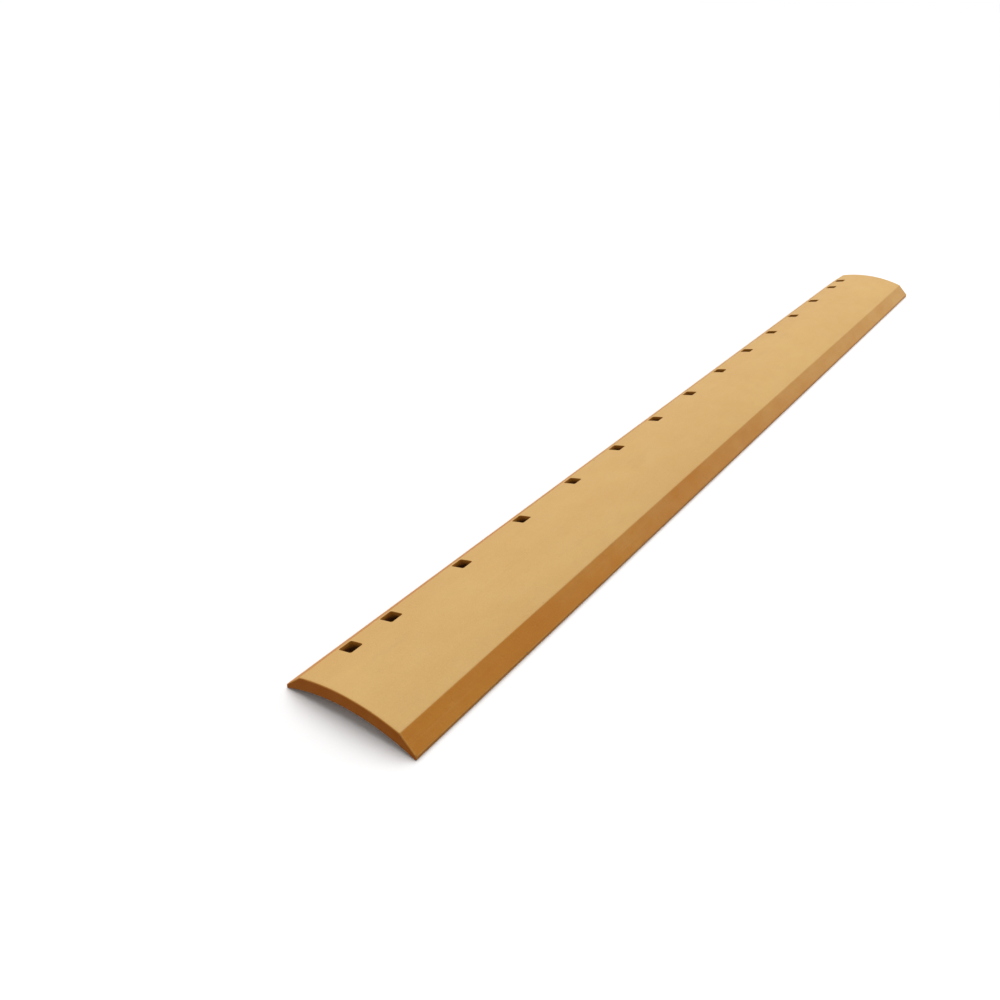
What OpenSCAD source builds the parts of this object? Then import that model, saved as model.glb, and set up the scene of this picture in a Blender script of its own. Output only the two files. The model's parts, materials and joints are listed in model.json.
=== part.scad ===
// Curved cutting edge with two bevels and a row of square bolt holes, one rolled steel bar.
// Millimetres. X runs along the blade and Y across it, towards the hole row. Z is up.
// The blade lies as it is stored, convex face up, on its two long edges. The origin is
// on the surface under it, below the middle of the blade.

/* [Bar] */
// Length of the blade from end to end
blade_length = 2133.6; // [600:0.1:4300]
// Width across the two cutting edges
blade_width = 203.2; // [160:0.1:254]
// Thickness of the bar between its two curved faces
bar_t = 19.05; // [13:0.05:28]
// Radius of the convex face
face_radius = 280; // [220:1:600]

/* [Cutting edges] */
// Width of each bevel, measured flat across the blade
bevel_width = 23.8; // [12:0.1:25]
// Height of the blunt land along each edge, over the surface that the blade lies on
land_height = 5.5; // [3:0.1:10]
// Rounding of the two corners of each land
land_round = 1.4; // [0.4:0.1:2]
// Rounding of the ridge where a bevel leaves the convex face
ridge_round = 5; // [1:0.5:25]

/* [Bolt row] */
// Side of the square bolt holes
hole_side = 22; // [14:0.1:26]
// Rounding of the corners of the square
hole_corner = 2.6; // [0.5:0.1:5]
// Distance of the row from the nearer cutting edge, measured flat across the blade
row_edge = 36.5; // [32:0.1:80]
// Distance of the outermost holes from the ends of the blade
end_margin = 76.2; // [40:0.1:150]
// Least distance of an outermost hole from the next one
end_pitch = 76.2; // [40:0.1:150]
// Distance between neighbours in the rest of the row
row_pitch = 152.4; // [60:0.1:300]

/* [Bolt head seats] */
// Diameter of the coned seat where it meets the concave face
seat_d = 36.5; // [30:0.1:44]
// Full angle of the cone
seat_angle = 80; // [60:1:100]

/* [Hidden] */
$fn = 96;

// Ochre paint
paint_ochre = [0.83, 0.66, 0.42];

// How far a cut runs past the face that it goes through
cut_over = bar_t / 4;
// How far a corner's rounding cut reaches out from its centre, in radii
round_reach = 3;
// Share of a pitch that is forgiven when the holes are counted
count_slack = 0.001;

// Both curved faces share one centre line, high enough for the rounded edges to touch Z = 0
half_width = blade_width / 2;
back_radius = face_radius - bar_t;
lower_round_y = half_width - land_round;
arc_z = land_round - sqrt(pow(back_radius + land_round, 2) - pow(lower_round_y, 2));
arc_centre = [0, arc_z];

// Sharp corners of a bevel in the section, as [across, up], and the way it faces
ridge = [half_width - bevel_width, arc_z + sqrt(pow(face_radius, 2) - pow(half_width - bevel_width, 2))];
land_top = [half_width, land_height];
bevel_angle = atan2(ridge.y - land_top.y, bevel_width);
bevel_length = norm(ridge - land_top);
bevel_up = [-cos(bevel_angle), sin(bevel_angle)];
bevel_out = [sin(bevel_angle), cos(bevel_angle)];
land_out = [1, 0];

// Centre of the round at the land's lower corner, which touches the land and the concave face
lower_round = [lower_round_y, land_round];
lower_out = (arc_centre - lower_round) / norm(arc_centre - lower_round);

// Centre of the round at the land's upper corner, which touches the land and the bevel
upper_round = [half_width - land_round, land_height - land_round * tan((90 - bevel_angle) / 2)];

// Centre of the round on the ridge, which touches the bevel and the convex face from inside
ridge_start = land_top - ridge_round * bevel_out;
ridge_from_arc = ridge_start - arc_centre;
ridge_along = ridge_from_arc * bevel_up;
ridge_reach = pow(face_radius - ridge_round, 2) - ridge_from_arc * ridge_from_arc;
ridge_centre = ridge_start + (sqrt(pow(ridge_along, 2) + ridge_reach) - ridge_along) * bevel_up;
face_out = (ridge_centre - arc_centre) / norm(ridge_centre - arc_centre);

// The holes stand square to the convex face, so their axes meet the arc's centre line
row_angle = asin((half_width - row_edge) / face_radius);
end_hole_x = blade_length / 2 - end_margin;
holes_per_half = floor((end_hole_x - end_pitch) / row_pitch + count_slack);
inner_holes = [for (i = [-holes_per_half : holes_per_half]) i * row_pitch];
hole_xs = concat([-end_hole_x], inner_holes, [end_hole_x]);

// The cone goes on inside the square hole until it is half as wide as the hole
seat_tip_d = hole_side / 2;
seat_slope = 2 * tan(seat_angle / 2);
seat_mouth_d = seat_d + cut_over * seat_slope;
seat_depth = (seat_mouth_d - seat_tip_d) / seat_slope;

// What lies outside a round of radius r, between the outward normals of the two sides it touches
module corner_waste(centre, r, normal_a, normal_b) {
    reach = round_reach * r;
    difference() {
        polygon([
            centre,
            centre + reach * normal_a,
            centre + reach * (normal_a + normal_b),
            centre + reach * normal_b
        ]);
        translate(centre) circle(r);
    }
}

// What is cut from one long edge of the bar: the bevel and three rounded corners
module edge_waste() {
    translate(ridge + bevel_width * bevel_up)
        rotate(-bevel_angle)
            square([bevel_length + 2 * bevel_width, bar_t]);
    corner_waste(ridge_centre, ridge_round, bevel_out, face_out);
    corner_waste(upper_round, land_round, land_out, bevel_out);
    corner_waste(lower_round, land_round, land_out, lower_out);
}

// Section of the rolled bar: two arcs on one centre, closed by the lands and bevels
module bar_section() {
    difference() {
        intersection() {
            translate(arc_centre) circle(face_radius);
            translate([-half_width, -cut_over]) square([blade_width, face_radius]);
        }
        translate(arc_centre) circle(back_radius);
        edge_waste();
        mirror([1, 0]) edge_waste();
    }
}

module rounded_square(side, r) {
    square([side, side - 2 * r], center = true);
    square([side - 2 * r, side], center = true);
    for (x = [-1, 1], y = [-1, 1])
        translate([x, y] * (side / 2 - r)) circle(r);
}

// One bolt hole, on the Z axis of the arc's centre line: square all through, with the cone
// for a bolt's head on the concave side
module bolt_hole() {
    translate([0, 0, back_radius - cut_over]) {
        linear_extrude(bar_t + 2 * cut_over) rounded_square(hole_side, hole_corner);
        cylinder(h = seat_depth, d1 = seat_mouth_d, d2 = seat_tip_d);
    }
}

module cutting_edge() {
    color(paint_ochre) difference() {
        rotate([90, 0, 90]) linear_extrude(blade_length, center = true) bar_section();
        for (x = hole_xs)
            translate([x, 0, arc_z]) rotate([-row_angle, 0, 0]) bolt_hole();
    }
}

cutting_edge();
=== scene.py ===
# %% [markdown]
# A curved cutting edge is a long bar of hard steel, rolled to an arc across its width and bevelled along
# both long edges, so that it can be turned round once the first edge has worn away. A row of square holes
# takes the bolts that hold it. This lesson dresses such a blade for its picture: the bar is made again with
# softened edges, then painted, set on a pale floor and lit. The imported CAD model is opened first, because
# the blade's place and its main sizes are read from it.

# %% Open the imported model
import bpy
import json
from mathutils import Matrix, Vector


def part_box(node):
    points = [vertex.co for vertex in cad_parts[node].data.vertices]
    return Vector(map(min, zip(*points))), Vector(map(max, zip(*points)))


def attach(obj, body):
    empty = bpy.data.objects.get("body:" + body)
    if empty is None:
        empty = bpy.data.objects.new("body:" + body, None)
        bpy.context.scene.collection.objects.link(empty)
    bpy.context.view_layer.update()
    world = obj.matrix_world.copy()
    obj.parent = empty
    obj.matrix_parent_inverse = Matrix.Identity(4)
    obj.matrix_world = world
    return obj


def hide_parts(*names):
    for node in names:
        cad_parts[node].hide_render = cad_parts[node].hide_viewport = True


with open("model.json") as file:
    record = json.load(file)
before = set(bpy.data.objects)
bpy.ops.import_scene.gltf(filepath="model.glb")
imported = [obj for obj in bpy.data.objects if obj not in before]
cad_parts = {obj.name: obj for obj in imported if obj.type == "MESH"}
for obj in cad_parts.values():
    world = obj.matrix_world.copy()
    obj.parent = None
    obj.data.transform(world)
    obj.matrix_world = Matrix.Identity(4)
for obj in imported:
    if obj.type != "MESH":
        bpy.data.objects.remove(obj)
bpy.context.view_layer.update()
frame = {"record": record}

blade_low, blade_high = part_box("cutting_edge")
blade_length = blade_high.x - blade_low.x
blade_width = blade_high.y - blade_low.y
print(f"blade: {blade_length:.4f} m long, {blade_width:.4f} m wide, {blade_high.z:.4f} m high")

# %% [markdown]
# The camera stands at one end of the blade, a little to its right, and looks along it and down. A camera
# can be aimed with an empty and a Track To constraint, but three angles say the same with fewer parts: a
# heading round the vertical, a tilt below the horizon, and the slight roll of a shot from the hand. From
# these, three arrows are worked out: ahead, to the right and up. A Blender camera looks along its own minus
# Z, so right, up and minus ahead are the columns of its matrix. The Standard view shows colours as they are
# written, which the paint relies on.

# %% Way that the camera looks
import math
import bpy
from mathutils import Matrix, Vector

camera_heading = math.radians(34.29)
camera_tilt = math.radians(30.05)
camera_roll = math.radians(1.30)

level_ahead = Vector((math.cos(camera_heading), math.sin(camera_heading), 0))
ahead = level_ahead * math.cos(camera_tilt) - Vector((0, 0, math.sin(camera_tilt)))
level_right = ahead.cross(Vector((0, 0, 1))).normalized()
level_up = level_right.cross(ahead)
right = level_right * math.cos(camera_roll) + level_up * math.sin(camera_roll)
up = right.cross(ahead)
print(f"camera looks along {[round(v, 3) for v in ahead]}")

# %% Camera
scene = bpy.context.scene
scene.view_settings.view_transform = "Standard"

camera_place = Vector((-1.6211, -0.5840, 0.7590))
camera_lens = 32.86
camera_sensor = 36.0

camera_data = bpy.data.cameras.new("picture_camera")
camera_data.lens = camera_lens
camera_data.sensor_width = camera_sensor
camera = bpy.data.objects.new("picture_camera", camera_data)
camera.matrix_world = Matrix.Translation(camera_place) @ Matrix((right, up, -ahead)).transposed().to_4x4()
scene.collection.objects.link(camera)
scene.camera = camera
print(f"camera: {(camera_place - Vector((blade_low.x, 0, 0))).length:.2f} m from the near end")

# %% [markdown]
# The blade's section is two arcs on one centre, closed on each side by a bevel and a blunt land. Rolling
# keeps the thickness the same everywhere, which is why the arcs share their centre. It could be drawn as a
# curve and extruded, but here each point also has to know which way it faces, so that the ends of the bar
# can be softened later by stepping inwards. So the few driving sizes are stated, and the rest is geometry.

# %% Sizes of the bar
mm = 0.001
bar_thickness = 19.05 * mm
face_radius = 280 * mm
bevel_width = 23.8 * mm
land_height = 5.5 * mm
land_round = 1.4 * mm
ridge_round = 5 * mm

half_length = blade_length / 2
half_width = blade_width / 2
back_radius = face_radius - bar_thickness
toe_y = half_width - land_round
arc_z = land_round - math.sqrt((back_radius + land_round) ** 2 - toe_y ** 2)
print(f"crown: {arc_z + face_radius:.5f} m, the CAD model says {blade_high.z:.5f} m")

# %% [markdown]
# Each long edge has three corners, and on a rolled bar none of them is sharp: the ridge, where the bevel
# leaves the convex face, the brow at the top of the land, and the toe at its foot. A Bevel modifier could
# round them, but it would only come near the true radius where a side is curved. A round that touches both
# its sides has its centre one radius inside each of them, so the three centres are worked out exactly.

# %% Centres of the three rounded corners
arc_centre = Vector((0, arc_z))
ridge_y = half_width - bevel_width
ridge = Vector((ridge_y, arc_z + math.sqrt(face_radius ** 2 - ridge_y ** 2)))
land_top = Vector((half_width, land_height))
bevel_turn = math.atan2(ridge.y - land_top.y, bevel_width)
bevel_up = Vector((-math.cos(bevel_turn), math.sin(bevel_turn)))
bevel_out = Vector((math.sin(bevel_turn), math.cos(bevel_turn)))

quarter_turn = math.pi / 2
toe_centre = Vector((toe_y, land_round))
brow_drop = land_round * math.tan((quarter_turn - bevel_turn) / 2)
brow_centre = Vector((half_width - land_round, land_height - brow_drop))

ridge_start = land_top - ridge_round * bevel_out
ridge_from_arc = ridge_start - arc_centre
ridge_along = ridge_from_arc.dot(bevel_up)
ridge_reach = (face_radius - ridge_round) ** 2 - ridge_from_arc.length_squared
ridge_centre = ridge_start + (math.sqrt(ridge_along ** 2 + ridge_reach) - ridge_along) * bevel_up

face_turn = math.atan2(*(ridge_centre - arc_centre))
toe_turn = math.atan2(*(toe_centre - arc_centre))
print(f"bevel at {math.degrees(bevel_turn):.1f} degrees, face up to {math.degrees(face_turn):.2f} degrees")

# %% [markdown]
# Along the row, the square holes are punched square to the curved face, so each hole's axis points at the
# centre of the arcs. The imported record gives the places: one opening per hole along the blade, and the tilt
# of the row. Cutting the holes with a Boolean would work, but it leaves long thin faces that shade badly.
# Instead, a window is left in the skin round each hole, and filled later by rings that run into the hole.
# For that, the skin needs lines that fall exactly on the windows' edges.

# %% Bolt row and its windows
record = frame["record"]
hole_xs = []
for opening in record["physics"]["openings"]:
    if opening["name"].startswith("bolt_hole"):
        low, high = opening["box_m"]
        hole_xs.append((low[0] + high[0]) / 2)
hole_xs.sort()
row_mount = next(mount for mount in record["mounts"] if mount["name"] == "bolt_row")
row_turn = math.atan2(row_mount["axis"][1], row_mount["axis"][2])

window_half = 22 * mm
window_steps = 12
face_window = (row_turn - math.asin(window_half / face_radius), face_turn)
back_half_turn = math.asin(window_half / back_radius)
back_window = (row_turn + back_half_turn, row_turn - back_half_turn)
print(f"bolt row: {len(hole_xs)} holes, tilted by {math.degrees(row_turn):.2f} degrees")


# %% [markdown]
# Now the section is drawn as a loop of points. Each point has a place, the way that it faces, and how much
# of an edge it is: nothing on a flat, a little on the wide round of the ridge, and all of it on the tight
# rounds, where paint wears first. A curve object with round corners would be quicker to draw, but it can't
# carry these notes. The flats get a point close to each of their ends, because smooth shading spreads from
# a round into the face beside it, and a narrow face there keeps the rest flat.

# %% Rounded corners of a long edge
def evenly(start, stop, steps):
    """Evenly spaced stops from start to stop, both included."""
    return [start + (stop - start) * i / steps for i in range(steps + 1)]


def arc_points(centre, radius, turns, edge, facing=1):
    """Points at these turns from upright, each as (place, way that it faces, how much it is an edge)."""
    rays = [Vector((math.sin(turn), math.cos(turn))) for turn in turns]
    return [(centre + radius * ray, facing * ray, edge) for ray in rays]


soft_edge = 0.6
sharp_edge = 1.0
round_steps = 6
ridge_turns = evenly(face_turn, bevel_turn, round_steps)
brow_turns = evenly(bevel_turn, quarter_turn, round_steps)
toe_turns = evenly(quarter_turn, math.pi + toe_turn, 2 * round_steps)
ridge_arc = arc_points(ridge_centre, ridge_round, ridge_turns, soft_edge)
brow_arc = arc_points(brow_centre, land_round, brow_turns, sharp_edge)
toe_arc = arc_points(toe_centre, land_round, toe_turns, sharp_edge)
print(f"points: {len(ridge_arc)} on the ridge, {len(brow_arc)} on the brow, {len(toe_arc)} on the toe")

# %% Both long edges
no_edge = 0.0
bevel_shares = (0.04, 0.2, 0.4, 0.6, 0.8, 0.96)
land_shares = (0.15, 0.5, 0.85)
land_out = Vector((1, 0))


def line_points(start, stop, way, shares):
    """Points on a straight side, at these shares of the way from start to stop."""
    return [(start.lerp(stop, share), way, no_edge) for share in shares]


bevel_line = line_points(ridge_arc[-1][0], brow_arc[0][0], bevel_out, bevel_shares)
land_line = line_points(brow_arc[-1][0], toe_arc[0][0], land_out, land_shares)
edge_side = ridge_arc[1:] + bevel_line + brow_arc + land_line + toe_arc[:-1]

mirrored_side = []
for place, way, edge in reversed(edge_side):
    mirrored_side.append((Vector((-place.x, place.y)), Vector((-way.x, way.y)), edge))
print(f"long edges: {len(edge_side)} points each")

# %% Closed outline of the section
face_steps_far = 10
face_steps_near = 6
back_steps_near = 8
back_steps_far = 22
edge_hold = math.radians(0.25)

face_turns = [-face_turn] + evenly(-face_turn + edge_hold, 0, face_steps_far)[:-1]
face_turns += evenly(0, face_window[0], face_steps_near)[:-1]
face_turns += evenly(face_window[0], face_window[1], window_steps)
back_turns = [toe_turn] + evenly(toe_turn - edge_hold, back_window[0], back_steps_near)[:-1]
back_turns += evenly(back_window[0], back_window[1], window_steps)[:-1]
back_turns += evenly(back_window[1], edge_hold - toe_turn, back_steps_far) + [-toe_turn]

face_arc = arc_points(arc_centre, face_radius, face_turns, no_edge)
back_arc = arc_points(arc_centre, back_radius, back_turns, no_edge, facing=-1)
outline = face_arc + edge_side + back_arc + mirrored_side
face_line = len(face_arc) - 1 - window_steps
back_line = len(face_arc) + len(edge_side) + back_turns.index(back_window[0])
print(f"section: {len(outline)} points, windows start at lines {face_line} and {back_line}")

# %% [markdown]
# The bar is one such section after another along X. The places where they stand are called stations here.
# Most stand far apart, since the bar is straight. They come closer at the windows, and closest at the two
# ends, where the cut left an edge that the shop then eased with a grinder. A Bevel modifier could round
# that edge, but stepping the outline inwards over a quarter turn gives the same form and keeps every line
# of the skin in order.

# %% Stations round the ends
end_round = 1.8 * mm
end_steps = 5

near_end = []
for turn in evenly(quarter_turn, 0, end_steps):
    x = -half_length + end_round * (1 - math.sin(turn))
    near_end.append((x, end_round * (1 - math.cos(turn))))
far_end = [(-x, inset) for x, inset in reversed(near_end)]
print(f"stations: {len(near_end)} round each end")

# %% Stations along the blade
end_hold = 1.5 * mm
station_gap = 16 * mm


def span(start, stop):
    """Evenly spaced stations from start up to stop, without stop itself."""
    return evenly(start, stop, math.ceil((stop - start) / station_gap))[:-1]


bar_end = half_length - end_round - end_hold
bar_xs = []
window_starts = []
reached = -bar_end
for hole_x in hole_xs:
    bar_xs += span(reached, hole_x - window_half)
    window_starts.append(len(near_end) + len(bar_xs))
    bar_xs += evenly(hole_x - window_half, hole_x + window_half, window_steps)[:-1]
    reached = hole_x + window_half
bar_xs += span(reached, bar_end) + [bar_end]
stations = near_end + [(x, 0.0) for x in bar_xs] + far_end
print(f"stations: {len(stations)} in all")

# %% [markdown]
# The skin joins each section to the next by four-sided faces. By hand, Bridge Edge Loops does this between
# two loops. In a script it is simplest to number every point as it is made and to list each face by four
# numbers. Each point also takes three marks along for the paint: how much it is an edge, how deep it is in
# a hole, and whether it is on a cut end. A paint could guess edges from the shape, but marks say it exactly.

# %% Points and their marks
places = []
edge_marks = []
bore_marks = []
end_marks = []


def add_point(place, edge=0.0, bore=0.0, end=0.0):
    """Adds one point with its marks for the paint, and returns its number."""
    places.append(place)
    edge_marks.append(edge)
    bore_marks.append(bore)
    end_marks.append(end)
    return len(places) - 1


print("points: each carries a place, an edge mark, a bore mark and an end mark")

# %% Sections of the bar, with less of a step near the thin lands
tip_share = 0.55
tip_reach = 20 * mm


def add_section(x, inset, edge, end):
    """Adds one section at x, stepped inwards by inset, and returns the numbers of its points."""
    numbers = []
    for place, way, corner in outline:
        from_land = (half_width - abs(place.x)) / tip_reach
        spot = place - inset * way * min(1.0, tip_share + (1.0 - tip_share) * from_land)
        numbers.append(add_point(Vector((x, spot.x, spot.y)), max(edge, corner), end=end))
    return numbers


grid = []
for number, (x, inset) in enumerate(stations):
    at_end = min(number, len(stations) - 1 - number) < len(near_end)
    grid.append(add_section(x, inset, sharp_edge if at_end else no_edge, inset / end_round))
print(f"sections: {len(grid)}, with {len(places)} points")

# %% Skin of the bar, with a window at each hole
window_cells = set()
for start in window_starts:
    for step in range(window_steps):
        for line in (face_line, back_line):
            window_cells.update((start + step, line + i) for i in range(window_steps))

skin = []
for i in range(len(stations) - 1):
    for j in range(len(outline)):
        k = (j + 1) % len(outline)
        if (i, j) not in window_cells:
            skin.append((grid[i][j], grid[i + 1][j], grid[i + 1][k], grid[i][k]))
print(f"skin: {len(skin)} faces, {len(window_cells)} cells left open")

# %% [markdown]
# One hole is worked out once and used fifteen times. Seen along its axis it is a square with rounded
# corners on the convex face. On the hollow face a cone is sunk for the bolt's head, so each flat wall of
# the square ends in a shallow curve where it meets the cone. The hole is described by rings of points in
# its own coordinates: along the blade, across it, and outwards along the hole's axis. Every ring has one
# point for each point of the window, so that neighbouring rings always join up as four-sided faces.

# %% Square of a bolt hole
hole_side = 22 * mm
hole_corner = 2.6 * mm
square_sides = 4
corner_steps = window_steps // 3
first_corner = math.radians(225)
side_begins = math.radians(270)
next_corner = math.radians(315)


def square_ring(side_length, corner):
    """A rounded square from its corner at minus X, minus Y, with as many points as a window has."""
    half = side_length / 2
    inner = half - corner
    side = []
    for turn in evenly(first_corner, side_begins, corner_steps):
        side.append((-inner + corner * math.cos(turn), -inner + corner * math.sin(turn)))
    side += [(along, -half) for along in evenly(-inner, inner, corner_steps)[1:-1]]
    for turn in evenly(side_begins, next_corner, corner_steps)[:-1]:
        side.append((inner + corner * math.cos(turn), -inner + corner * math.sin(turn)))
    ring = []
    for _ in range(square_sides):
        ring += side
        side = [(-across, along) for along, across in side]
    return ring


hole_square = square_ring(hole_side, hole_corner)
print(f"hole: {hole_side / mm:.1f} mm square, {len(hole_square)} points round")

# %% Cone of the bolt's seat
seat_diameter = 36.5 * mm
seat_angle = math.radians(80)
seat_radius = seat_diameter / 2
seat_slope = math.tan(seat_angle / 2)
full_turn = 2 * math.pi


def on_cone(angle, radius):
    """A point of the seat's cone, at this angle round the axis and this distance from it."""
    height = back_radius + (seat_radius - radius) / seat_slope
    return Vector((radius * math.cos(angle), radius * math.sin(angle), height))


angles = [math.atan2(across, along) % full_turn for along, across in hole_square]
reaches = [math.hypot(along, across) for along, across in hole_square]
print(f"cone meets the square {min(reaches) / mm:.1f} to {max(reaches) / mm:.1f} mm from the axis")

# %% Mouth of the seat on the hollow face
mouth_tries = 8


def mouth_radius(angle):
    """How far from the axis the cone meets the hollow face. Each try starts from the last one."""
    radius = seat_radius
    for _ in range(mouth_tries):
        sag = back_radius - math.sqrt(back_radius ** 2 - (radius * math.sin(angle)) ** 2)
        radius = seat_radius + sag * seat_slope
    return radius


mouth_angles = [(first_corner + full_turn * i / len(angles)) % full_turn for i in range(len(angles))]
mouth_reaches = [mouth_radius(angle) for angle in mouth_angles]
print(f"mouth: {2 * min(mouth_reaches) / mm:.1f} to {2 * max(mouth_reaches) / mm:.1f} mm wide")

# %% [markdown]
# A punch and a drill leave sharp rims, and a moment with a file breaks them. A softened rim is what catches
# the light, so it is worth real faces here. Three rings describe a corner: where the softening starts, the
# sharp corner itself, and where the softening ends. A smooth curve is drawn from the first to the last and
# pulled towards the corner, and it gives the rings between. A Bevel modifier does much the same, but it
# would have to be told which edges to take, and here each ring also has to be marked for the paint.

# %% Softened rim on the convex face
rim_round = 0.6 * mm


def on_arc(along, across, radius):
    """A point this far along and across from the hole's axis, on the arc of this radius."""
    return Vector((along, across, math.sqrt(radius ** 2 - across ** 2)))


def soften(before, corner, after):
    """Rings from one side of a corner to the other, on a smooth curve that is pulled towards it."""
    rings = []
    for t in evenly(0, 1, round_steps):
        before_pull = (1 - t) ** 2
        corner_pull = 2 * t * (1 - t)
        after_pull = t ** 2
        trios = zip(before, corner, after)
        rings.append([before_pull * a + corner_pull * c + after_pull * b for a, c, b in trios])
    return rings


rim_square = square_ring(hole_side + 2 * rim_round, hole_corner + rim_round)
rim_outer = [on_arc(along, across, face_radius) for along, across in rim_square]
rim_corner = [on_arc(along, across, face_radius) for along, across in hole_square]
rim_inner = [point - Vector((0, 0, rim_round)) for point in rim_corner]
rim = soften(rim_outer, rim_corner, rim_inner)
print(f"rim: {len(rim)} rings")

# %% Softened top and mouth of the seat
seat_round = 0.7 * mm

seat_corner = [on_cone(angle, reach) for angle, reach in zip(angles, reaches)]
seat_above = [point + Vector((0, 0, seat_round)) for point in seat_corner]
seat_below = [on_cone(angle, reach + seat_round) for angle, reach in zip(angles, reaches)]
seat_top = soften(seat_above, seat_corner, seat_below)

mouth_inner = [on_cone(angle, reach - rim_round) for angle, reach in zip(mouth_angles, mouth_reaches)]
mouth_corner = [on_cone(angle, reach) for angle, reach in zip(mouth_angles, mouth_reaches)]
mouth_outer = []
for angle, reach in zip(mouth_angles, mouth_reaches):
    outer_reach = reach + rim_round
    mouth_outer.append(on_arc(outer_reach * math.cos(angle), outer_reach * math.sin(angle), back_radius))
mouth = soften(mouth_inner, mouth_corner, mouth_outer)
print(f"seat: {len(seat_top)} rings at its top, {len(mouth)} at its mouth")

# %% Rings down the cone, which turn from the square's points to even ones
seat_steps = 5
seat_rings = []
for t in evenly(0, 1, seat_steps)[1:-1]:
    ring = []
    for angle, reach, mouth_angle, mouth_reach in zip(angles, reaches, mouth_angles, mouth_reaches):
        twist = (mouth_angle - angle + math.pi) % full_turn - math.pi
        cone_start = reach + seat_round
        cone_stop = mouth_reach - rim_round
        ring.append(on_cone(angle + twist * t, cone_start + (cone_stop - cone_start) * t))
    seat_rings.append(ring)
print(f"cone: {len(seat_rings)} rings between the square and the mouth")


# %% [markdown]
# Now the hole goes into its windows. A ring of the hole is turned by the tilt of the row and moved along
# the blade, and its points are joined to the ring before it, from the window on the convex face, over the
# rim, down the walls and the cone, to the window on the hollow face. A few rings between window and rim lie
# on the curved face itself, so the face keeps its arc right up to the hole. A Boolean would need none of
# this, but its edges would cut across the arc, and the light would show them.

# %% From a hole to the blade and back
def to_blade(point, hole_x):
    """From a hole's own coordinates to the blade's."""
    across = point.y * math.cos(row_turn) + point.z * math.sin(row_turn)
    height = arc_z - point.y * math.sin(row_turn) + point.z * math.cos(row_turn)
    return Vector((hole_x + point.x, across, height))


def from_blade(place, hole_x):
    """Along and across from a hole's axis, for a point of the blade."""
    across = place.y * math.cos(row_turn) - (place.z - arc_z) * math.sin(row_turn)
    return place.x - hole_x, across


rim_heights = [to_blade(point, 0).z for point in rim_corner]
print(f"rim: {min(rim_heights):.4f} to {max(rim_heights):.4f} m above the floor")


# %% Points round a window
def window_seam(start, line, lines_forward):
    """Numbers of the points round a window, in the same order as the points of a hole's ring."""
    stop = start + window_steps
    if lines_forward:
        first, last, step = line, line + window_steps, 1
    else:
        first, last, step = line + window_steps, line, -1
    seam = [grid[i][first] for i in range(start, stop)]
    seam += [grid[stop][j] for j in range(first, last, step)]
    seam += [grid[i][last] for i in range(stop, start, -1)]
    seam += [grid[start][j] for j in range(last, first, -step)]
    return seam


face_seams = [window_seam(start, face_line, True) for start in window_starts]
back_seams = [window_seam(start, back_line, False) for start in window_starts]
print(f"windows: {len(face_seams)} on each face, {len(face_seams[0])} points round each")

# %% Rings of a hole from window to window
patch_shares = (0.35, 0.7, 0.92)
wall_steps = 4
bore_at_seat = 0.8
bore_on_cone = 0.4


def between(spots, ring, share, radius):
    """A ring on a curved face, this share of the way from a window's edge to a ring of the hole."""
    mixed = []
    for (along, across), point in zip(spots, ring):
        mixed.append(on_arc(along + (point.x - along) * share, across + (point.y - across) * share, radius))
    return mixed


def hole_rings(face_spots, back_spots):
    """All rings of a hole, each as (points, how much it is an edge, how deep it is in the hole)."""
    rings = [(between(face_spots, rim_outer, t, face_radius), no_edge, 0.0) for t in patch_shares]
    rings += [(ring, sharp_edge, 0.0) for ring in rim]
    for t in evenly(0, 1, wall_steps)[1:-1]:
        rings.append(([a.lerp(b, t) for a, b in zip(rim_inner, seat_above)], no_edge, t))
    for t, ring in zip(evenly(0, 1, round_steps), seat_top):
        rings.append((ring, soft_edge, bore_at_seat + (bore_on_cone - bore_at_seat) * t))
    for t, ring in zip(evenly(0, 1, seat_steps)[1:-1], seat_rings):
        rings.append((ring, no_edge, bore_on_cone * (1 - t)))
    rings += [(ring, sharp_edge, 0.0) for ring in mouth]
    for t in reversed(patch_shares):
        rings.append((between(back_spots, mouth_outer, t, back_radius), no_edge, 0.0))
    return rings


print(f"between a window and a rim: {len(patch_shares)} rings, down the walls: {wall_steps - 1}")

# %% Put a hole into every window
for hole_x, face_seam, back_seam in zip(hole_xs, face_seams, back_seams):
    face_spots = [from_blade(places[number], hole_x) for number in face_seam]
    back_spots = [from_blade(places[number], hole_x) for number in back_seam]
    loops = [face_seam]
    for ring, edge_mark, bore_mark in hole_rings(face_spots, back_spots):
        loops.append([add_point(to_blade(point, hole_x), edge_mark, bore_mark) for point in ring])
    loops.append(back_seam)
    for upper, lower in zip(loops, loops[1:]):
        for i in range(len(upper)):
            k = (i + 1) % len(upper)
            skin.append((upper[i], upper[k], lower[k], lower[i]))
print(f"with holes: {len(places)} points, {len(skin)} faces")

# %% [markdown]
# The ends are plain cut faces. A flat face needs no more than its outline, but smooth shading would pull
# its rim towards the rounded edge beside it. A second outline just inside the first holds the shading flat.
# After that the list of points and faces becomes a mesh, and the marks that were kept with each point go
# along as attributes, which the paint reads to know an edge, a hole or a cut end.

# %% End faces
end_rim = 0.2 * mm
for outer, x in ((grid[0], -half_length), (grid[-1], half_length)):
    inner = add_section(x, end_round + end_rim, no_edge, 1.0)
    for j in range(len(outer)):
        k = (j + 1) % len(outer)
        skin.append((outer[j], outer[k], inner[k], inner[j]))
    skin.append(tuple(inner))
print(f"ends closed: {len(skin)} faces")

# %% Mesh of the blade
import bmesh

blade_mesh = bpy.data.meshes.new("painted_blade")
blade_mesh.from_pydata(places, [], skin)
for name, marks in (("edge", edge_marks), ("bore", bore_marks), ("cut_end", end_marks)):
    blade_mesh.attributes.new(name, "FLOAT", "POINT").data.foreach_set("value", marks)

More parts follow.
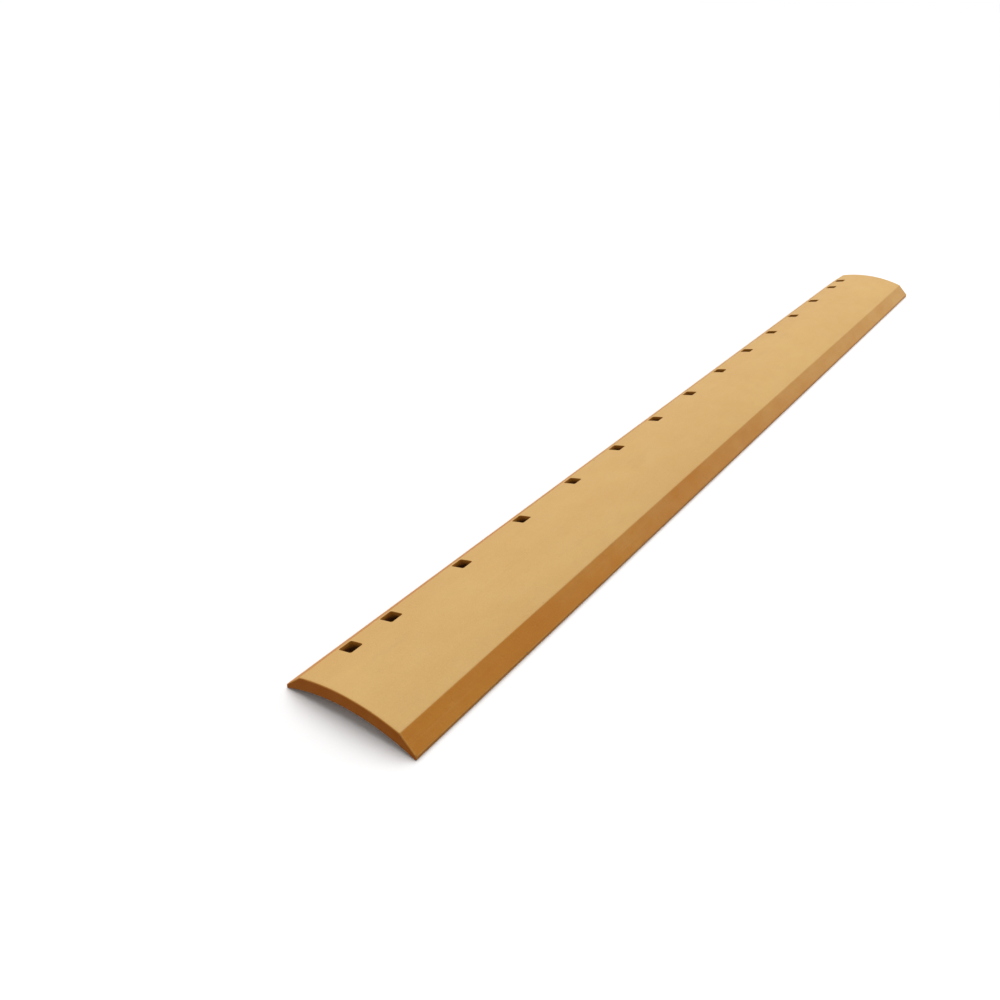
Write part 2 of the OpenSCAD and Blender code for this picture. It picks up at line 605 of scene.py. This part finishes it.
litres_in_cubic_metre = 1000
shaped = bmesh.new()
shaped.from_mesh(blade_mesh)
bmesh.ops.recalc_face_normals(shaped, faces=shaped.faces)
open_edges = sum(1 for side in shaped.edges if not side.is_manifold)
steel_litres = shaped.calc_volume() * litres_in_cubic_metre
shaped.to_mesh(blade_mesh)
shaped.free()
blade_mesh.shade_smooth()

blade = bpy.data.objects.new("painted_blade", blade_mesh)
scene.collection.objects.link(blade)
triangles = sum(len(face.vertices) - 2 for face in blade_mesh.polygons)
print(f"blade: {triangles} triangles, {open_edges} open edges, {steel_litres:.4f} litres of steel")


# %% [markdown]
# The paint is a satin ochre enamel, sprayed at the factory on clean steel. It is built from noise in the
# blade's own coordinates, so that it stays on the blade from every side. A picture of real paint would be
# quicker to set up, but it would stretch along two metres and show its repeats. A material is a tree of
# nodes, and each node takes several lines: it is made, named, and its inputs are set or linked. A small
# bench does that in one line, for the paint now and for the floor and the surroundings later.

# %% Bench for a tree of nodes
class NodeBench:
    """The nodes of a material or a world, with a tool to add a node and one to feed an input."""

    def __init__(self, owner):
        owner.use_nodes = True
        self.nodes = owner.node_tree.nodes
        self.links = owner.node_tree.links

    def feed(self, socket, value):
        """Links an input to the output of a node, or sets it to a plain value."""
        if isinstance(value, bpy.types.NodeSocket):
            self.links.new(value, socket)
        else:
            socket.default_value = value

    def add(self, kind, name, **inputs):
        """Adds a node and feeds its inputs. From_Min stands for the input that is called From Min."""
        node = self.nodes.new(kind)
        node.name = name
        node.label = name
        for key, value in inputs.items():
            self.feed(node.inputs[key.replace("_", " ")], value)
        return node


paint = bpy.data.materials.new("ochre_paint")
coat = NodeBench(paint)
shader = coat.nodes["Principled BSDF"]
print(f"paint: starts with {len(coat.nodes)} nodes")

# %% [markdown]
# A sprayed coat is never one flat colour. It is a shade thinner here and thicker there, in a slow drift
# along the bar and in clouds about as wide as a hand, and the lines of the rolled steel show through it
# faintly. Painting this by hand on two metres of blade would take hours. Noise does it, stretched where the
# real pattern is long. Noise seldom leaves the middle of its range, so the levels start and stop there.

# %% Paint: noise for drift, clouds and rolling lines
plain_space = coat.add("ShaderNodeTexCoord", "blade space").outputs["Object"]


def stretched(name, along, across, up=None):
    """The blade's coordinates in metres, times one factor along the bar and another across it."""
    mapping = coat.add("ShaderNodeMapping", name, Vector=plain_space)
    mapping.inputs["Scale"].default_value = (along, across, across if up is None else up)
    return mapping.outputs["Vector"]


def noise(name, where, per_metre, detail=3.0, roughness=0.5):
    """Cloudy noise between 0 and 1, with about this many lumps in a metre."""
    lumps = coat.add("ShaderNodeTexNoise", name, Vector=where, Scale=per_metre, Detail=detail)
    coat.feed(lumps.inputs["Roughness"], roughness)
    return lumps.outputs["Fac"]


drift_space = stretched("drift space", along=1.0, across=2.5)
drift = noise("coat drift", drift_space, per_metre=3.5, detail=2.0)
cloud_space = stretched("cloud space", along=1.0, across=1.4)
cloud = noise("coat clouds", cloud_space, per_metre=26.0, detail=5.0, roughness=0.6)
line_space = stretched("line space", along=1.2, across=90.0)
steel_lines = noise("rolling lines", line_space, per_metre=4.0, detail=4.0)
print(f"paint: {len(coat.nodes)} nodes with its first noises")

# %% Paint: thin and thick coat
ochre = (0.497, 0.187, 0.017, 1)
ochre_thin = (0.525, 0.213, 0.024, 1)

# A Mix node lists sockets for numbers, vectors and colours together, and these are the ones for colours
mix_share = 0
mix_first = 6
mix_second = 7
mix_result = 2


def levels(name, value, taken, gives=(0.0, 1.0)):
    """Takes a value from one range to another, and stops at both ends."""
    step = coat.add("ShaderNodeMapRange", name, Value=value, From_Min=taken[0], From_Max=taken[1])
    coat.feed(step.inputs["To Min"], gives[0])
    coat.feed(step.inputs["To Max"], gives[1])
    return step.outputs["Result"]


def blend(bench, name, way, share, first, second):
    """Blends a second colour over a first. Either can be a colour or the output of a node."""
    mix = bench.add("ShaderNodeMix", name)
    mix.data_type = "RGBA"
    mix.blend_type = way
    bench.feed(mix.inputs[mix_share], share)
    bench.feed(mix.inputs[mix_first], first)
    bench.feed(mix.inputs[mix_second], second)
    return mix.outputs[mix_result]


thin_where = levels("thin where", drift, taken=(0.35, 0.7))
colour = blend(coat, "thin coat", "MIX", thin_where, ochre, ochre_thin)
print(f"paint: {len(coat.nodes)} nodes with a thin and a thick coat")

# %% Paint: deeper clouds and rolling lines
ochre_deep = (0.435, 0.152, 0.013, 1)
noise_range = (0.3, 0.7)

deep_where = levels("deep where", cloud, taken=(0.45, 0.75), gives=(0.0, 0.35))
colour = blend(coat, "deep coat", "MIX", deep_where, colour, ochre_deep)
line_shade = levels("line shade", steel_lines, taken=noise_range, gives=(0.0, 0.2))
colour = blend(coat, "lined coat", "MIX", line_shade, colour, ochre_deep)
print(f"paint: {len(coat.nodes)} nodes with the body colour")


# %% [markdown]
# What faces up is painted paler and yellower. This is a painted sheen that stands in for the light from
# above. So the convex face is pale and the bevels keep the full colour. Towards the far end of the bar the
# painted sheen is stronger, and that is painted light too. A mask could be painted for this, but the surface
# itself knows how far it faces up: that is the Z of its normal. A little noise and the place along the bar
# are added to it, and levels turn the sum into a share of painted sheen. Close by, the coat shows a fine
# grain, which a last noise puts over it.

# %% Paint: painted sheen on what faces up
def calculate(bench, name, way, first, second):
    """One sum on two values."""
    step = bench.add("ShaderNodeMath", name)
    step.operation = way
    bench.feed(step.inputs[0], first)
    bench.feed(step.inputs[1], second)
    return step.outputs["Value"]


# Painted sheen: faces that point up are painted paler and yellower in place of light from above. The effect
# grows towards the far end of the bar.
painted_sheen_tint = (0.800, 0.665, 0.312, 1)
surface = coat.add("ShaderNodeNewGeometry", "surface")
facing = coat.add("ShaderNodeSeparateXYZ", "facing", Vector=surface.outputs["Normal"])
along_bar = coat.add("ShaderNodeSeparateXYZ", "along", Vector=plain_space)
sheen_space = stretched("sheen space", along=1.0, across=1.8)
sheen_cloud = noise("sheen clouds", sheen_space, per_metre=9.0, detail=6.0, roughness=0.62)

bar_range = (-half_length, half_length)
more_sheen_far = levels("more sheen far", along_bar.outputs["X"], taken=bar_range, gives=(-0.003, 0.112))
patchy = levels("patchy", sheen_cloud, taken=noise_range, gives=(-0.02, 0.02))
catch_more = calculate(coat, "catch more", "ADD", more_sheen_far, patchy)
catching = calculate(coat, "catching", "ADD", facing.outputs["Z"], catch_more)
sheen_facing_up = levels("sheen_facing_up", catching, taken=(0.74, 0.88))
sheen_strength = levels("sheen strength", sheen_cloud, taken=(0.3, 0.75), gives=(0.36, 0.43))
painted_sheen = calculate(coat, "painted_sheen", "MULTIPLY", sheen_facing_up, sheen_strength)
colour = blend(coat, "coat with painted sheen", "MIX", painted_sheen, colour, painted_sheen_tint)
print(f"paint: {len(coat.nodes)} nodes with dust")

# %% Paint: grain
all_over = 1.0
grain = noise("paint grain", plain_space, per_metre=650.0, detail=2.0)
grain_level = levels("grain level", grain, taken=noise_range, gives=(0.95, 1.045))
colour = blend(coat, "grainy coat", "MULTIPLY", all_over, colour, grain_level)
print(f"paint: {len(coat.nodes)} nodes with grain")

# %% [markdown]
# Handling leaves small traces even on a new blade: grit that stuck to the wet coat, faint smudges from
# gloves, and fine scuffs along the bar. They are few and small, so each is a sparse pattern with its own
# threshold. For the grit, a Voronoi texture scatters one point in every cell and gives each cell a colour
# of its own. The red of that colour decides which cells have a speck, and how large it is.

# %% Paint: grit
grit_cells = coat.add("ShaderNodeTexVoronoi", "grit cells", Vector=plain_space, Scale=60.0)
grit_pick = coat.add("ShaderNodeSeparateColor", "grit pick", Color=grit_cells.outputs["Color"])
grit_size = levels("grit size", grit_pick.outputs["Red"], taken=(0.50, 1.0), gives=(0.0, 0.085))
ragged = levels("ragged", grain, taken=noise_range, gives=(0.0, 0.045))
grit_reach = calculate(coat, "grit reach", "ADD", grit_cells.outputs["Distance"], ragged)
grit_gap = calculate(coat, "grit gap", "SUBTRACT", grit_size, grit_reach)
grit = levels("grit", grit_gap, taken=(-0.01, 0.02), gives=(0.0, 0.6))
print(f"paint: {len(coat.nodes)} nodes with grit")

# %% Paint: smudges and scuffs
smudge_tint = (0.330, 0.230, 0.120, 1)
scuff_tint = (0.640, 0.460, 0.200, 1)
grit_tint = (0.120, 0.070, 0.030, 1)

smudge_space = stretched("smudge space", along=0.6, across=1.6)
smudge_cloud = noise("smudge clouds", smudge_space, per_metre=13.0, detail=7.0, roughness=0.66)
smudge = levels("smudge", smudge_cloud, taken=(0.58, 0.76), gives=(0.0, 0.16))
colour = blend(coat, "smudged coat", "MIX", smudge, colour, smudge_tint)

scuff_space = stretched("scuff space", along=5.0, across=420.0)
scuff_lines = noise("scuff lines", scuff_space, per_metre=1.0, detail=3.0)
scuff_thin = levels("scuff thin", scuff_lines, taken=(0.62, 0.70))
scuff_where = levels("scuff where", drift, taken=(0.45, 0.65), gives=(0.0, 0.14))
scuff = calculate(coat, "scuff", "MULTIPLY", scuff_thin, scuff_where)
colour = blend(coat, "scuffed coat", "MIX", scuff, colour, scuff_tint)
colour = blend(coat, "gritty coat", "MIX", grit, colour, grit_tint)
print(f"paint: {len(coat.nodes)} nodes with traces of handling")


# %% [markdown]
# Paint draws back from sharp edges as it dries, and the first knocks land there, so edges are rubbed thin and
# have a few bare chips. The rubbed edges are painted lighter, partly as that wear and partly as a painted
# highlight where a round catches the light. The cut ends are painted a deeper, redder brown, as painted shade
# and painted warm bounce light. In the holes the walls are painted dark inwards, as painted shade. Wear is
# often found with an Ambient Occlusion or Bevel node, but those are slow and guess. The marks on the mesh say
# where each of these is.

# %% Paint: marks of edges, holes and cut ends
def mark(name):
    """Reads one of the marks that the mesh carries."""
    reader = coat.add("ShaderNodeAttribute", name)
    reader.attribute_name = name
    return reader.outputs["Fac"]


edge = mark("edge")
bore = mark("bore")
cut_end = mark("cut_end")
worn_edge = levels("worn edge", edge, taken=(soft_edge, sharp_edge))
print(f"paint: {len(coat.nodes)} nodes with the marks")

# %% Paint: rubbed edges with a painted highlight, and painted shade on the cut ends
# Rubbed edges are painted lighter, partly as wear and partly as a painted highlight along the rounds.
rub_and_highlight_tint = (0.680, 0.390, 0.110, 1)
end_shade_tint = (0.440, 0.115, 0.004, 1)

wear_cloud = noise("wear clouds", plain_space, per_metre=70.0, detail=6.0, roughness=0.65)
rub_and_highlight_where = levels("rub and highlight where", wear_cloud, taken=(0.35, 0.6), gives=(0.05, 0.45))
rub_and_highlight = calculate(coat, "rub_and_highlight", "MULTIPLY", worn_edge, rub_and_highlight_where)
colour = blend(coat, "rubbed edge and painted highlight", "MIX", rub_and_highlight, colour, rub_and_highlight_tint)

# Painted shade and painted warm bounce light: the cut ends get a deeper, redder brown.
end_shade_cloud = levels("end shade cloud", cloud, taken=noise_range, gives=(0.75, 1.0))
end_shade_share = calculate(coat, "end shade share", "MULTIPLY", cut_end, end_shade_cloud)
colour = blend(coat, "coat and painted end shade", "MIX", end_shade_share, colour, end_shade_tint)
print(f"paint: {len(coat.nodes)} nodes with rubbed edges and cut ends")

# %% Paint: bare chips, and painted shade in the holes
bare_tint = (0.170, 0.095, 0.045, 1)
bore_shade_tint = (0.030, 0.004, 0.001, 1)

chip_cloud = noise("chip clouds", plain_space, per_metre=190.0, detail=5.0, roughness=0.6)
bare_where = levels("bare where", chip_cloud, taken=(0.63, 0.66), gives=(0.0, 0.7))
bare = calculate(coat, "bare", "MULTIPLY", worn_edge, bare_where)
colour = blend(coat, "bared edge", "MIX", bare, colour, bare_tint)

# Painted shade: the hole walls darken inwards, to near black at the deepest rings.
bore_shade_share = levels("bore shade share", bore, taken=(0.25, 0.85))
colour = blend(coat, "coat and painted hole shade", "MIX", bore_shade_share, colour, bore_shade_tint)
coat.feed(shader.inputs["Base Color"], colour)
print(f"paint: {len(coat.nodes)} nodes with chips and holes")

# %% [markdown]
# Gloss tells paint from chalk. A satin coat throws back a soft, wide sheen. It is a little duller on the
# up-facing faces that carry the painted sheen, on the cut ends and in the holes. A second glossy layer could
# be laid over it, but satin paint has none. What is the same all over the blade is set on the shader itself.
# Only the roughness changes from place to place, so only the roughness gets nodes.

# %% Paint: gloss
shader.inputs["Metallic"].default_value = 0.0
shader.inputs["IOR"].default_value = 1.52
shader.inputs["Specular IOR Level"].default_value = 0.2

gloss_space = stretched("gloss space", along=0.8, across=1.5)
gloss_cloud = noise("gloss clouds", gloss_space, per_metre=30.0, detail=5.0)
roughness = levels("satin", gloss_cloud, taken=noise_range, gives=(0.56, 0.66))
for name, where, dulling in (("painted_sheen", painted_sheen, 0.15), ("ends", cut_end, 0.15), ("bores", bore, 0.25)):
    duller = calculate(coat, f"{name} dull", "MULTIPLY", where, dulling)
    roughness = calculate(coat, f"dull with {name}", "ADD", roughness, duller)
coat.feed(shader.inputs["Roughness"], roughness)
print(f"paint: {len(coat.nodes)} nodes with gloss")

# %% [markdown]
# The surface is not quite flat either. The rolled steel below the coat has shallow waves, faint lines and
# small pits, spray dries to a fine orange-peel skin, the cut ends keep the marks of the cut, and grit
# stands proud. Displacing the mesh by a tenth of a millimetre would take millions of faces. A Bump node
# bends the shading by that much instead, which is enough for relief as thin as paint. Anything deeper is in
# the mesh.

# %% Paint: heights for the relief
wave_space = stretched("wave space", along=1.0, across=5.0)
waves = noise("steel waves", wave_space, per_metre=7.0)
pit_cloud = noise("pit clouds", plain_space, per_metre=130.0, roughness=0.55)
pits = levels("pits", pit_cloud, taken=(0.55, 0.75), gives=(1.0, 0.0))
peel = noise("orange peel", plain_space, per_metre=380.0, detail=2.0)
cut_space = stretched("cut space", along=1.0, across=420.0, up=26.0)
cut_lines = noise("cut lines", cut_space, per_metre=1.0)
cut_height = calculate(coat, "cut height", "MULTIPLY", cut_lines, cut_end)
print(f"paint: {len(coat.nodes)} nodes with the heights")


# %% Paint: fine relief
def relief(name, height, depth, below=None):
    """Bends the shading by a height between 0 and 1 that stands for this depth in metres."""
    bump = coat.add("ShaderNodeBump", name, Strength=1.0, Distance=depth, Height=height)
    if below is not None:
        coat.feed(bump.inputs["Normal"], below)
    return bump.outputs["Normal"]


normal = relief("wave relief", waves, depth=0.30 * mm)
normal = relief("line relief", steel_lines, depth=0.02 * mm, below=normal)
normal = relief("pit relief", pits, depth=0.16 * mm, below=normal)
normal = relief("peel relief", peel, depth=0.08 * mm, below=normal)
normal = relief("cut relief", cut_height, depth=0.10 * mm, below=normal)
normal = relief("grit relief", grit, depth=0.15 * mm, below=normal)
coat.feed(shader.inputs["Normal"], normal)
blade_mesh.materials.append(paint)
print(f"paint: {len(coat.nodes)} nodes in all")


# %% [markdown]
# A catalogue picture wants a white ground that still shows the shadow under the blade. Flooding the scene
# with light would bleach the paint, so the floor and the world are only white to the camera and in
# reflections. The Light Path node tells such rays from the light that is passed on. For that light, floor
# and world are a calm grey, which keeps the shaded sides of the blade as deep as they are outdoors.

# %% Colour of the floor
def seen_directly(bench):
    """One for what the camera sees, straight, mirrored or through glass, and zero for passed-on light."""
    rays = bench.add("ShaderNodeLightPath", "light path").outputs
    seen = calculate(bench, "camera or gloss", "MAXIMUM", rays["Is Camera Ray"], rays["Is Glossy Ray"])
    return calculate(bench, "seen directly", "MAXIMUM", seen, rays["Is Transmission Ray"])


white = (1, 1, 1, 1)
floor_grey = (0.34, 0.34, 0.34, 1)
floor_material = bpy.data.materials.new("pale_floor")
ground = NodeBench(floor_material)
floor_shader = ground.nodes["Principled BSDF"]
floor_shader.inputs["Roughness"].default_value = 1.0
floor_shader.inputs["Specular IOR Level"].default_value = 0.0
floor_colour = blend(ground, "floor colour", "MIX", seen_directly(ground), floor_grey, white)
ground.feed(floor_shader.inputs["Base Color"], floor_colour)
print(f"floor: {len(ground.nodes)} nodes")

# %% Floor
floor_half = 30.0
floor_corners = [(x * floor_half, y * floor_half, 0) for x, y in ((-1, -1), (1, -1), (1, 1), (-1, 1))]
floor_mesh = bpy.data.meshes.new("floor")
floor_mesh.from_pydata(floor_corners, [], [(0, 1, 2, 3)])
floor_mesh.materials.append(floor_material)
floor = bpy.data.objects.new("floor", floor_mesh)
scene.collection.objects.link(floor)
print(f"floor: {2 * floor_half:.0f} m wide")

# %% Surroundings
ambient_level = 0.40
backdrop_level = 1.0

world = bpy.data.worlds.new("studio")
scene.world = world
sky = NodeBench(world)
ambient = sky.nodes["Background"]
ambient.inputs["Color"].default_value = white
ambient.inputs["Strength"].default_value = ambient_level
backdrop = sky.add("ShaderNodeBackground", "white backdrop", Color=white, Strength=backdrop_level)

chooser = sky.add("ShaderNodeMixShader", "ambient or backdrop")
sky.feed(chooser.inputs[0], seen_directly(sky))
sky.feed(chooser.inputs[1], ambient.outputs["Background"])
sky.feed(chooser.inputs[2], backdrop.outputs["Background"])
sky.feed(sky.nodes["World Output"].inputs["Surface"], chooser.outputs["Shader"])
print(f"surroundings: ambient light at {ambient_level}, backdrop at {backdrop_level}")

# %% [markdown]
# The main light comes from high up and a little behind the blade, as on a bright day with thin cloud. It
# lies evenly on the convex face, while the bevel and the end that face the camera stay in gentle shade. A
# soft box close by would fade along two metres of steel and leave the far floor dark. A sun lamp is the
# same everywhere, and a wide angle makes its shadow as soft as a soft box does. Its strength is stated as
# how bright it makes a white floor, and worked out from its height.

# %% Day lamp
day_heading = math.radians(40)
day_height = math.radians(66)
day_width = math.radians(70)
day_level = 0.63

day_data = bpy.data.lights.new("day_lamp", "SUN")
day_data.angle = day_width
day_data.energy = day_level * math.pi / math.sin(day_height)
day_from = Vector((math.cos(day_heading), math.sin(day_heading), math.tan(day_height)))
day_lamp = bpy.data.objects.new("day_lamp", day_data)
day_lamp.rotation_euler = (-day_from).to_track_quat("-Z", "Y").to_euler()
scene.collection.objects.link(day_lamp)
print(f"day lamp: {day_data.energy:.2f} W per square metre, floor lit to {day_level + ambient_level:.2f}")

# %% [markdown]
# The bevel on the camera's side is lighter towards the far end than the day lamp alone would make it. More
# light from the sky would lift all the shade alike, so a small soft box beside the far half of the blade
# does it. It is weak, so that the shade stays gentle, and it is hidden from the camera, so that it can't
# show at the edge of a picture.

# %% Side lamp
side_place = Vector((1.7, -1.9, 1.0))
side_target = Vector((0.6, 0.0, 0.0))
side_size = 1.2
side_watts = 12

side_data = bpy.data.lights.new("side_lamp", "AREA")
side_data.size = side_size
side_data.energy = side_watts
side_lamp = bpy.data.objects.new("side_lamp", side_data)
side_lamp.location = side_place
side_lamp.rotation_euler = (side_target - side_place).to_track_quat("-Z", "Y").to_euler()
side_lamp.visible_camera = False
scene.collection.objects.link(side_lamp)
print(f"side lamp: {side_watts} W, {(side_place - side_target).length:.2f} m from the blade")

# %% [markdown]
# Last comes the hand-over. The blade rides on the only body of the imported model and stands for its one
# node, so it takes that node's place in every picture. Repainting the CAD solid would do for a plain view,
# but its edges are sharp and it carries no marks.

# %% Hand over
import json

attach(blade, "root")
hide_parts("cutting_edge")
